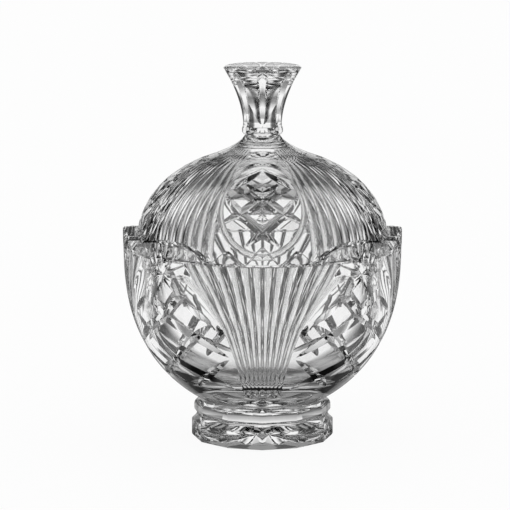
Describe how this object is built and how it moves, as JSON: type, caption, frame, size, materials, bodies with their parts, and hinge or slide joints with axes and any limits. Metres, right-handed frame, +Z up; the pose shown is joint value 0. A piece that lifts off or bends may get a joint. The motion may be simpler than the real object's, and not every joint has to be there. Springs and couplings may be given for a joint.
{
  "type": "covered candy dish",
  "caption": "Footed candy dish in pressed crystal with a scalloped rim, a domed lid and a flared knob, decorated with fans of flutes, lattices of mitre cuts and starbursts.",
  "frame": {"origin": "centre of the foot's underside, on the dish's upright axis", "axes": "+Z up along the dish's axis; -Y is the front, where the middle of a fan of flutes and of a lid medallion faces, and a lattice with its starburst lies half-way between each two fans"},
  "size_m": [0.1392, 0.1392, 0.187],
  "materials": {
    "crystal_bowl": "polished clear crystal",
    "crystal_lid": "polished clear crystal"
  },
  "bodies": {
    "root": {"bowl": "crystal_bowl", "lid": "crystal_lid"}
  },
  "joints": []
}
